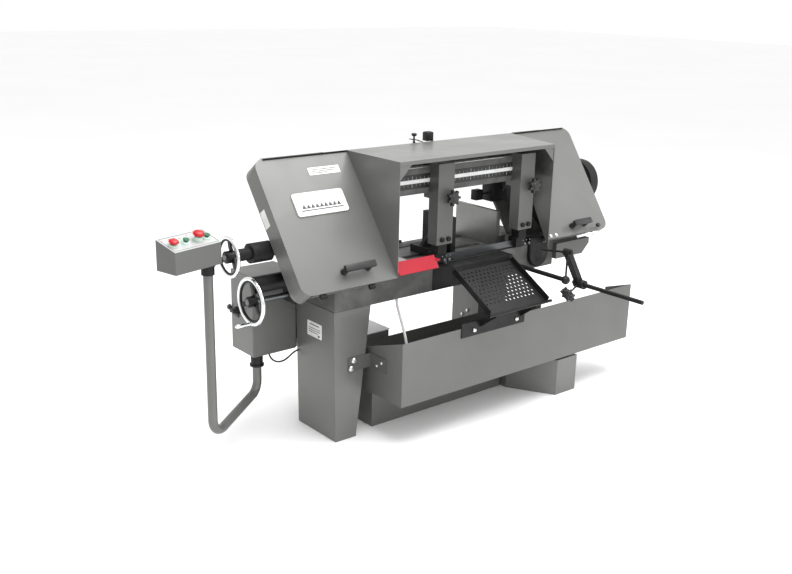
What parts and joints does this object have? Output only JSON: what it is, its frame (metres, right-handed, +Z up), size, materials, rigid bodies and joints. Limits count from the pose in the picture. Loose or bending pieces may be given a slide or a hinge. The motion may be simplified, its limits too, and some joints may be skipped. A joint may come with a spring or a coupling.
{
  "type": "horizontal band saw",
  "caption": "Horizontal metal-cutting band saw with a leaning covered head, guide arms, screw vise, chip tray, discharge chute, work stop and control box on a swivel arm.",
  "frame": {"origin": "middle of the bounding box at floor level", "axes": "+Z up, +X along the saw from the tension wheel to the motor, +Y to the back; the operator stands at -Y"},
  "size_m": [2.315, 1.064, 1.051],
  "materials": {
    "machine_grey": "satin",
    "guard_red": "satin",
    "bed_grey": "machined and painted",
    "tank_lid_grey": "satin",
    "black_iron": "satin black",
    "black_plastic": "moulded",
    "bright_steel": "plated",
    "chrome_trim": "polished",
    "wheel_iron": "machined rim",
    "blade_steel": "oiled",
    "plate_silver": "fine brushed",
    "button_red": "moulded",
    "button_green": "moulded",
    "hose_clear": "translucent white",
    "cable_black": "smooth"
  },
  "bodies": {
    "base": {"left_pedestal": "machine_grey", "right_pedestal": "machine_grey", "bed": "bed_grey", "apron_table": "black_iron", "coolant_tank": "machine_grey", "tank_cover": "tank_lid_grey", "chip_tray": "machine_grey", "tray_bracket": "machine_grey", "discharge_chute": "black_iron", "chute_bracket": "black_iron", "base_bolts": "bright_steel", "stop_bar": "black_iron", "electrical_box": "machine_grey", "electrical_cover": "machine_grey", "lower_collar": "black_iron", "vise_right_jaw": "bed_grey", "vise_cylinder": "black_iron", "pivot_bracket": "machine_grey", "pivot_pin": "bright_steel", "coolant_hose": "hose_clear", "box_cable": "cable_black"},
    "switch": {"switch_knob": "black_plastic"},
    "control_arm": {"control_pipe": "machine_grey"},
    "console": {"upper_collar": "black_iron", "control_box": "machine_grey", "control_plate": "plate_silver", "button_bezels": "chrome_trim"},
    "stop_push": {"stop_button": "button_red"},
    "start_push": {"start_button": "button_green"},
    "emergency_push": {"emergency_stop": "button_red"},
    "feed_push": {"feed_button": "button_green"},
    "vise_slide": {"vise_left_jaw": "black_iron"},
    "vise_spindle": {"vise_screw": "bright_steel", "vise_handwheel": "chrome_trim"},
    "crank": {"crank_handle": "chrome_trim"},
    "head": {"head_frame": "bed_grey", "head_beam": "bed_grey", "scale_strip": "plate_silver", "tension_housing": "machine_grey", "gearbox": "black_iron", "motor": "black_iron", "blade": "blade_steel", "guard_hinge_pin": "bright_steel"},
    "tension_spindle": {"tension_handwheel": "chrome_trim"},
    "carriage": {"idler_carriage": "black_iron"},
    "idler": {"idler_wheel": "wheel_iron"},
    "drive": {"drive_wheel": "wheel_iron"},
    "left_guide": {"left_guide_arm": "machine_grey", "left_guide_block": "black_iron", "front_blade_guard": "guard_red"},
    "left_clamp": {"left_arm_knob": "black_plastic"},
    "right_guide": {"right_guide_arm": "machine_grey", "right_guide_block": "black_iron"},
    "right_clamp": {"right_arm_knob": "black_plastic"},
    "cover": {"blade_guard": "machine_grey", "guard_handles": "black_iron"},
    "latch": {"guard_latch": "bright_steel"},
    "stop_swing": {"stop_arm": "black_iron"},
    "stop_slide": {"stop_rod": "black_iron"},
    "stop_clamp": {"stop_knob": "black_plastic"}
  },
  "joints": [
    {"name": "head_lift", "type": "hinge", "parent": "base", "child": "head", "pos_m": [0.75253, 0.324, 0.655], "axis": [0, 1, 0], "range_deg": [0, 45]},
    {"name": "cover_open", "type": "hinge", "parent": "head", "child": "cover", "pos_m": [-0.49247, 0.368, 1.046], "axis": [-1, 0, 0], "range_deg": [0, 80]},
    {"name": "latch_turn", "type": "hinge", "parent": "cover", "child": "latch", "pos_m": [0.82853, 0.0672, 0.6576], "axis": [0, -0.8, 0.6], "range_deg": [-90, 0]},
    {"name": "drive_turn", "type": "hinge", "parent": "head", "child": "drive", "pos_m": [0.67753, 0.2288, 0.7764], "axis": [0, -0.8, 0.6], "continuous": true},
    {"name": "idler_turn", "type": "hinge", "parent": "carriage", "child": "idler", "pos_m": [-0.49247, 0.2288, 0.7764], "axis": [0, -0.8, 0.6], "continuous": true},
    {"name": "tension_turn", "type": "hinge", "parent": "head", "child": "tension_spindle", "pos_m": [-0.87547, 0.2808, 0.7374], "axis": [1, 0, 0], "range_deg": [0, 1200]},
    {"name": "tension_travel", "type": "slide", "parent": "head", "child": "carriage", "axis": [1, 0, 0], "range_m": [0, 0.02]},
    {"name": "left_guide_slide", "type": "slide", "parent": "head", "child": "left_guide", "axis": [1, 0, 0], "range_m": [-0.06, 0.2]},
    {"name": "right_guide_slide", "type": "slide", "parent": "head", "child": "right_guide", "axis": [1, 0, 0], "range_m": [-0.15, 0.03]},
    {"name": "left_clamp_turn", "type": "hinge", "parent": "left_guide", "child": "left_clamp", "pos_m": [-0.03147, 0.082, 0.887], "axis": [0, -1, 0], "range_deg": [-180, 0]},
    {"name": "right_clamp_turn", "type": "hinge", "parent": "right_guide", "child": "right_clamp", "pos_m": [0.41153, 0.082, 0.887], "axis": [0, -1, 0], "range_deg": [-180, 0]},
    {"name": "vise_turn", "type": "hinge", "parent": "base", "child": "vise_spindle", "pos_m": [-0.82347, 0.252, 0.57], "axis": [1, 0, 0], "range_deg": [-4140, 7920]},
    {"name": "vise_travel", "type": "slide", "parent": "base", "child": "vise_slide", "axis": [1, 0, 0], "range_m": [-0.115, 0.22]},
    {"name": "crank_spin", "type": "hinge", "parent": "vise_spindle", "child": "crank", "pos_m": [-0.80647, 0.252, 0.4885], "axis": [1, 0, 0], "continuous": true},
    {"name": "arm_swing", "type": "hinge", "parent": "base", "child": "control_arm", "pos_m": [-0.70947, 0.382, 0.308], "axis": [0, 0, 1], "range_deg": [-60, 40]},
    {"name": "console_swing", "type": "hinge", "parent": "control_arm", "child": "console", "pos_m": [-0.97347, 0.252, 0.74], "axis": [0, 0, 1], "range_deg": [-40, 40]},
    {"name": "stop_press", "type": "slide", "parent": "console", "child": "stop_push", "axis": [-0.0666, 0.2776, -0.9584], "range_m": [0, 0.004], "stiffness_N_per_m": 600, "springref_m": -0.002},
    {"name": "start_press", "type": "slide", "parent": "console", "child": "start_push", "axis": [-0.0666, 0.2776, -0.9584], "range_m": [0, 0.004], "stiffness_N_per_m": 600, "springref_m": -0.002},
    {"name": "emergency_press", "type": "slide", "parent": "console", "child": "emergency_push", "axis": [-0.0666, 0.2776, -0.9584], "range_m": [0, 0.004], "stiffness_N_per_m": 600, "springref_m": -0.002},
    {"name": "feed_press", "type": "slide", "parent": "console", "child": "feed_push", "axis": [-0.0666, 0.2776, -0.9584], "range_m": [0, 0.004], "stiffness_N_per_m": 600, "springref_m": -0.002},
    {"name": "switch_turn", "type": "hinge", "parent": "base", "child": "switch", "pos_m": [-0.73647, 0.464, 0.468], "axis": [-1, 0, 0], "range_deg": [0, 90]},
    {"name": "stop_arm_swing", "type": "hinge", "parent": "base", "child": "stop_swing", "pos_m": [0.30753, -0.228, 0.687], "axis": [0, -1, 0], "range_deg": [-10, 100]},
    {"name": "stop_rod_slide", "type": "slide", "parent": "stop_swing", "child": "stop_slide", "axis": [0, 1, 0], "range_m": [-0.1, 0.18]},
    {"name": "stop_clamp_turn", "type": "hinge", "parent": "stop_swing", "child": "stop_clamp", "pos_m": [0.39053, -0.228, 0.548], "axis": [-0.8829, 0, -0.4695], "range_deg": [-180, 0]}
  ],
  "couplings": [
    {"joint": "idler_turn", "follows": "drive_turn", "ratio": 1},
    {"joint": "tension_travel", "follows": "tension_turn", "m_per_rad": 0.00095493},
    {"joint": "vise_travel", "follows": "vise_turn", "m_per_rad": 0.0015915}
  ]
}
